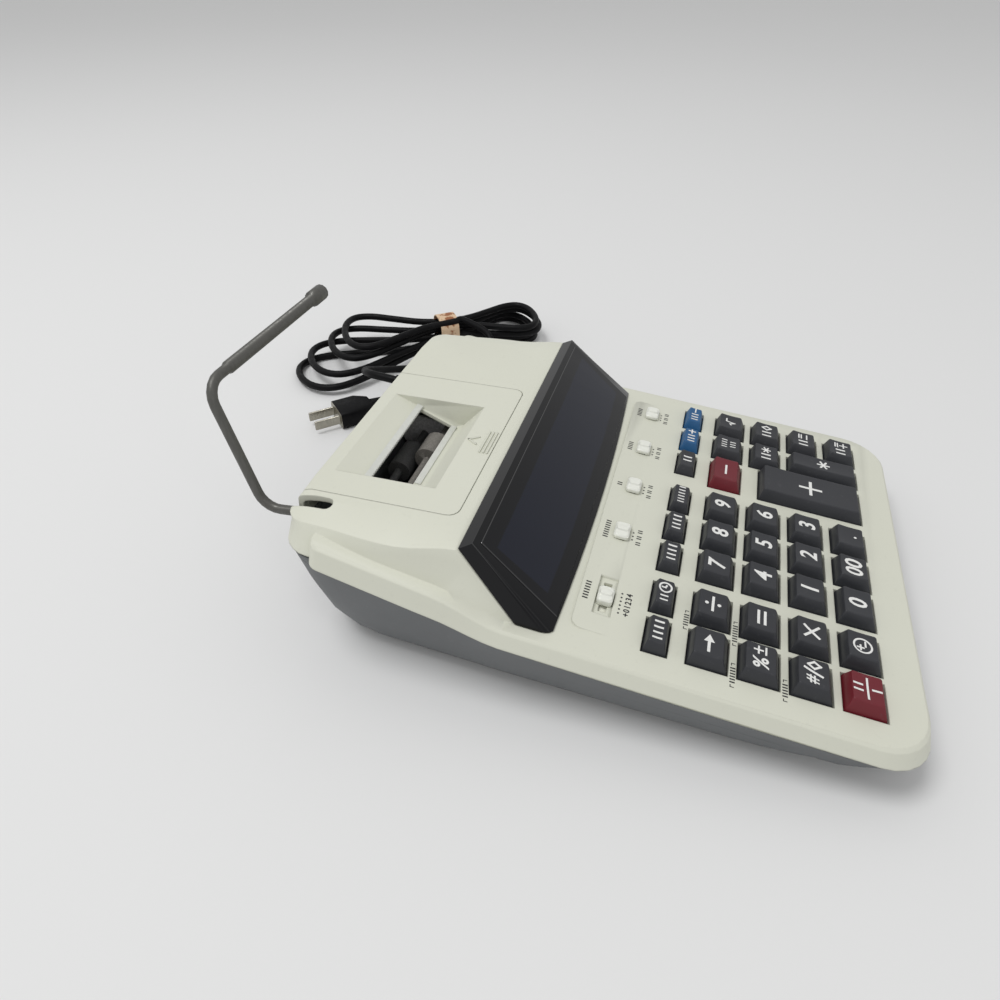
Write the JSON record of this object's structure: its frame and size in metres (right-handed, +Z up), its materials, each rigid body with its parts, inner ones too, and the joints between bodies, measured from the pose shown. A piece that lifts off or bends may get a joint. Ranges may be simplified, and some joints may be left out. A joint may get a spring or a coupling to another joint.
{
  "type": "printing calculator",
  "caption": "Desk printing calculator: two-part moulded housing, sprung keys, slide switches, raked display, paper printer under a sliding cover, folding wire arm, bundled cord.",
  "frame": {"origin": "centre of the footprint of the calculator without its free cord, on the table", "axes": "+X to the user's right, +Y from the user to the rear, +Z up; the deck and everything on it tilt 6 degrees up to the rear"},
  "size_m": [0.3712, 0.3965, 0.1246],
  "materials": {
    "ivory": "fine matt moulding",
    "grey": "fine matt moulding",
    "key_dark": "satin",
    "key_red": "satin",
    "key_blue": "satin",
    "knob": "translucent satin",
    "bezel": "polished",
    "clear": "moulded strip",
    "wire": "dull grey",
    "frame": "matt",
    "rubber": "matt",
    "ink": "porous",
    "motor": "plain can",
    "gear": "satin",
    "board": "bare laminate",
    "core": "laminated core",
    "cord": "satin"
  },
  "bodies": {
    "housing": {"upper_case": "ivory", "lower_case": "grey", "display_bezel": "bezel", "printer_frame": "frame", "printer_motor": "motor", "circuit_board": "board", "transformer": "core", "strain_relief": "cord", "power_cord": "cord", "cord_hank": "cord", "plug": "cord"},
    "key_paper_feed": {"key_paper_feed": "key_dark"},
    "key_clock": {"key_clock": "key_dark"},
    "key_cost": {"key_cost": "key_dark"},
    "key_sell": {"key_sell": "key_dark"},
    "key_margin": {"key_margin": "key_dark"},
    "key_grand_total": {"key_grand_total": "key_dark"},
    "key_tax_plus": {"key_tax_plus": "key_blue"},
    "key_tax_minus": {"key_tax_minus": "key_blue"},
    "key_backspace": {"key_backspace": "key_dark"},
    "key_divide": {"key_divide": "key_dark"},
    "key_7": {"key_7": "key_dark"},
    "key_8": {"key_8": "key_dark"},
    "key_9": {"key_9": "key_dark"},
    "key_minus": {"key_minus": "key_red"},
    "key_time_calculation": {"key_time_calculation": "key_dark"},
    "key_square_root": {"key_square_root": "key_dark"},
    "key_percent": {"key_percent": "key_dark"},
    "key_equals": {"key_equals": "key_dark"},
    "key_4": {"key_4": "key_dark"},
    "key_5": {"key_5": "key_dark"},
    "key_6": {"key_6": "key_dark"},
    "key_memory_total": {"key_memory_total": "key_dark"},
    "key_memory_subtotal": {"key_memory_subtotal": "key_dark"},
    "key_subtotal": {"key_subtotal": "key_dark"},
    "key_multiply": {"key_multiply": "key_dark"},
    "key_1": {"key_1": "key_dark"},
    "key_2": {"key_2": "key_dark"},
    "key_3": {"key_3": "key_dark"},
    "key_plus": {"key_plus": "key_dark"},
    "key_total": {"key_total": "key_dark"},
    "key_memory_minus": {"key_memory_minus": "key_dark"},
    "key_clear": {"key_clear": "key_red"},
    "key_sign_change": {"key_sign_change": "key_dark"},
    "key_0": {"key_0": "key_dark"},
    "key_00": {"key_00": "key_dark"},
    "key_decimal_point": {"key_decimal_point": "key_dark"},
    "key_memory_plus": {"key_memory_plus": "key_dark"},
    "switch_decimal": {"switch_decimal": "knob"},
    "switch_rounding": {"switch_rounding": "knob"},
    "switch_grand_total": {"switch_grand_total": "knob"},
    "switch_print": {"switch_print": "knob"},
    "switch_power": {"switch_power": "knob"},
    "printer_cover": {"printer_cover": "ivory", "tear_bar": "clear"},
    "paper_arm": {"paper_arm": "wire"},
    "feed_roller": {"feed_roller": "rubber"},
    "print_wheel": {"print_wheel": "frame"},
    "ink_roller": {"ink_roller": "ink"},
    "motor_pinion": {"motor_pinion": "gear"}
  },
  "joints": [
    {"name": "key_paper_feed_press", "type": "slide", "parent": "housing", "child": "key_paper_feed", "axis": [0, 0.1045, -0.9945], "range_m": [0, 0.0025], "stiffness_N_per_m": 150, "springref_m": -0.002},
    {"name": "key_clock_press", "type": "slide", "parent": "housing", "child": "key_clock", "axis": [0, 0.1045, -0.9945], "range_m": [0, 0.0025], "stiffness_N_per_m": 150, "springref_m": -0.002},
    {"name": "key_cost_press", "type": "slide", "parent": "housing", "child": "key_cost", "axis": [0, 0.1045, -0.9945], "range_m": [0, 0.0025], "stiffness_N_per_m": 150, "springref_m": -0.002},
    {"name": "key_sell_press", "type": "slide", "parent": "housing", "child": "key_sell", "axis": [0, 0.1045, -0.9945], "range_m": [0, 0.0025], "stiffness_N_per_m": 150, "springref_m": -0.002},
    {"name": "key_margin_press", "type": "slide", "parent": "housing", "child": "key_margin", "axis": [0, 0.1045, -0.9945], "range_m": [0, 0.0025], "stiffness_N_per_m": 150, "springref_m": -0.002},
    {"name": "key_grand_total_press", "type": "slide", "parent": "housing", "child": "key_grand_total", "axis": [0, 0.1045, -0.9945], "range_m": [0, 0.0025], "stiffness_N_per_m": 150, "springref_m": -0.002},
    {"name": "key_tax_plus_press", "type": "slide", "parent": "housing", "child": "key_tax_plus", "axis": [0, 0.1045, -0.9945], "range_m": [0, 0.0025], "stiffness_N_per_m": 150, "springref_m": -0.002},
    {"name": "key_tax_minus_press", "type": "slide", "parent": "housing", "child": "key_tax_minus", "axis": [0, 0.1045, -0.9945], "range_m": [0, 0.0025], "stiffness_N_per_m": 150, "springref_m": -0.002},
    {"name": "key_backspace_press", "type": "slide", "parent": "housing", "child": "key_backspace", "axis": [0, 0.1045, -0.9945], "range_m": [0, 0.0025], "stiffness_N_per_m": 150, "springref_m": -0.002},
    {"name": "key_divide_press", "type": "slide", "parent": "housing", "child": "key_divide", "axis": [0, 0.1045, -0.9945], "range_m": [0, 0.0025], "stiffness_N_per_m": 150, "springref_m": -0.002},
    {"name": "key_7_press", "type": "slide", "parent": "housing", "child": "key_7", "axis": [0, 0.1045, -0.9945], "range_m": [0, 0.0025], "stiffness_N_per_m": 150, "springref_m": -0.002},
    {"name": "key_8_press", "type": "slide", "parent": "housing", "child": "key_8", "axis": [0, 0.1045, -0.9945], "range_m": [0, 0.0025], "stiffness_N_per_m": 150, "springref_m": -0.002},
    {"name": "key_9_press", "type": "slide", "parent": "housing", "child": "key_9", "axis": [0, 0.1045, -0.9945], "range_m": [0, 0.0025], "stiffness_N_per_m": 150, "springref_m": -0.002},
    {"name": "key_minus_press", "type": "slide", "parent": "housing", "child": "key_minus", "axis": [0, 0.1045, -0.9945], "range_m": [0, 0.0025], "stiffness_N_per_m": 150, "springref_m": -0.002},
    {"name": "key_time_calculation_press", "type": "slide", "parent": "housing", "child": "key_time_calculation", "axis": [0, 0.1045, -0.9945], "range_m": [0, 0.0025], "stiffness_N_per_m": 150, "springref_m": -0.002},
    {"name": "key_square_root_press", "type": "slide", "parent": "housing", "child": "key_square_root", "axis": [0, 0.1045, -0.9945], "range_m": [0, 0.0025], "stiffness_N_per_m": 150, "springref_m": -0.002},
    {"name": "key_percent_press", "type": "slide", "parent": "housing", "child": "key_percent", "axis": [0, 0.1045, -0.9945], "range_m": [0, 0.0025], "stiffness_N_per_m": 150, "springref_m": -0.002},
    {"name": "key_equals_press", "type": "slide", "parent": "housing", "child": "key_equals", "axis": [0, 0.1045, -0.9945], "range_m": [0, 0.0025], "stiffness_N_per_m": 150, "springref_m": -0.002},
    {"name": "key_4_press", "type": "slide", "parent": "housing", "child": "key_4", "axis": [0, 0.1045, -0.9945], "range_m": [0, 0.0025], "stiffness_N_per_m": 150, "springref_m": -0.002},
    {"name": "key_5_press", "type": "slide", "parent": "housing", "child": "key_5", "axis": [0, 0.1045, -0.9945], "range_m": [0, 0.0025], "stiffness_N_per_m": 150, "springref_m": -0.002},
    {"name": "key_6_press", "type": "slide", "parent": "housing", "child": "key_6", "axis": [0, 0.1045, -0.9945], "range_m": [0, 0.0025], "stiffness_N_per_m": 150, "springref_m": -0.002},
    {"name": "key_memory_total_press", "type": "slide", "parent": "housing", "child": "key_memory_total", "axis": [0, 0.1045, -0.9945], "range_m": [0, 0.0025], "stiffness_N_per_m": 150, "springref_m": -0.002},
    {"name": "key_memory_subtotal_press", "type": "slide", "parent": "housing", "child": "key_memory_subtotal", "axis": [0, 0.1045, -0.9945], "range_m": [0, 0.0025], "stiffness_N_per_m": 150, "springref_m": -0.002},
    {"name": "key_subtotal_press", "type": "slide", "parent": "housing", "child": "key_subtotal", "axis": [0, 0.1045, -0.9945], "range_m": [0, 0.0025], "stiffness_N_per_m": 150, "springref_m": -0.002},
    {"name": "key_multiply_press", "type": "slide", "parent": "housing", "child": "key_multiply", "axis": [0, 0.1045, -0.9945], "range_m": [0, 0.0025], "stiffness_N_per_m": 150, "springref_m": -0.002},
    {"name": "key_1_press", "type": "slide", "parent": "housing", "child": "key_1", "axis": [0, 0.1045, -0.9945], "range_m": [0, 0.0025], "stiffness_N_per_m": 150, "springref_m": -0.002},
    {"name": "key_2_press", "type": "slide", "parent": "housing", "child": "key_2", "axis": [0, 0.1045, -0.9945], "range_m": [0, 0.0025], "stiffness_N_per_m": 150, "springref_m": -0.002},
    {"name": "key_3_press", "type": "slide", "parent": "housing", "child": "key_3", "axis": [0, 0.1045, -0.9945], "range_m": [0, 0.0025], "stiffness_N_per_m": 150, "springref_m": -0.002},
    {"name": "key_plus_press", "type": "slide", "parent": "housing", "child": "key_plus", "axis": [0, 0.1045, -0.9945], "range_m": [0, 0.0025], "stiffness_N_per_m": 150, "springref_m": -0.002},
    {"name": "key_total_press", "type": "slide", "parent": "housing", "child": "key_total", "axis": [0, 0.1045, -0.9945], "range_m": [0, 0.0025], "stiffness_N_per_m": 150, "springref_m": -0.002},
    {"name": "key_memory_minus_press", "type": "slide", "parent": "housing", "child": "key_memory_minus", "axis": [0, 0.1045, -0.9945], "range_m": [0, 0.0025], "stiffness_N_per_m": 150, "springref_m": -0.002},
    {"name": "key_clear_press", "type": "slide", "parent": "housing", "child": "key_clear", "axis": [0, 0.1045, -0.9945], "range_m": [0, 0.0025], "stiffness_N_per_m": 150, "springref_m": -0.002},
    {"name": "key_sign_change_press", "type": "slide", "parent": "housing", "child": "key_sign_change", "axis": [0, 0.1045, -0.9945], "range_m": [0, 0.0025], "stiffness_N_per_m": 150, "springref_m": -0.002},
    {"name": "key_0_press", "type": "slide", "parent": "housing", "child": "key_0", "axis": [0, 0.1045, -0.9945], "range_m": [0, 0.0025], "stiffness_N_per_m": 150, "springref_m": -0.002},
    {"name": "key_00_press", "type": "slide", "parent": "housing", "child": "key_00", "axis": [0, 0.1045, -0.9945], "range_m": [0, 0.0025], "stiffness_N_per_m": 150, "springref_m": -0.002},
    {"name": "key_decimal_point_press", "type": "slide", "parent": "housing", "child": "key_decimal_point", "axis": [0, 0.1045, -0.9945], "range_m": [0, 0.0025], "stiffness_N_per_m": 150, "springref_m": -0.002},
    {"name": "key_memory_plus_press", "type": "slide", "parent": "housing", "child": "key_memory_plus", "axis": [0, 0.1045, -0.9945], "range_m": [0, 0.0025], "stiffness_N_per_m": 150, "springref_m": -0.002},
    {"name": "switch_decimal_slide", "type": "slide", "parent": "housing", "child": "switch_decimal", "axis": [1, 0, 0], "range_m": [-0.0055, 0.007]},
    {"name": "switch_rounding_slide", "type": "slide", "parent": "housing", "child": "switch_rounding", "axis": [1, 0, 0], "range_m": [-0.0025, 0.0025]},
    {"name": "switch_grand_total_slide", "type": "slide", "parent": "housing", "child": "switch_grand_total", "axis": [1, 0, 0], "range_m": [-0.0025, 0.0025]},
    {"name": "switch_print_slide", "type": "slide", "parent": "housing", "child": "switch_print", "axis": [1, 0, 0], "range_m": [-0.0025, 0.0025]},
    {"name": "switch_power_slide", "type": "slide", "parent": "housing", "child": "switch_power", "axis": [1, 0, 0], "range_m": [0, 0.005]},
    {"name": "cover_slide", "type": "slide", "parent": "housing", "child": "printer_cover", "axis": [0, 0.9945, 0.1045], "range_m": [0, 0.012]},
    {"name": "arm_hinge", "type": "hinge", "parent": "housing", "child": "paper_arm", "pos_m": [-0.0795, 0.10528, 0.06487], "axis": [1, 0, 0], "range_deg": [0, 112]},
    {"name": "feed_roller_turn", "type": "hinge", "parent": "housing", "child": "feed_roller", "pos_m": [-0.066, 0.09742, 0.04394], "axis": [1, 0, 0], "continuous": true},
    {"name": "print_wheel_turn", "type": "hinge", "parent": "housing", "child": "print_wheel", "pos_m": [-0.066, 0.07047, 0.04211], "axis": [1, 0, 0], "continuous": true},
    {"name": "ink_roller_turn", "type": "hinge", "parent": "housing", "child": "ink_roller", "pos_m": [-0.066, 0.08374, 0.04974], "axis": [1, 0, 0], "continuous": true},
    {"name": "motor_pinion_turn", "type": "hinge", "parent": "housing", "child": "motor_pinion", "pos_m": [-0.066, 0.0899, 0.02704], "axis": [1, 0, 0], "continuous": true}
  ],
  "couplings": [
    {"joint": "print_wheel_turn", "follows": "feed_roller_turn", "ratio": -1},
    {"joint": "motor_pinion_turn", "follows": "feed_roller_turn", "ratio": -2.7},
    {"joint": "ink_roller_turn", "follows": "feed_roller_turn", "ratio": 1.1765}
  ]
}
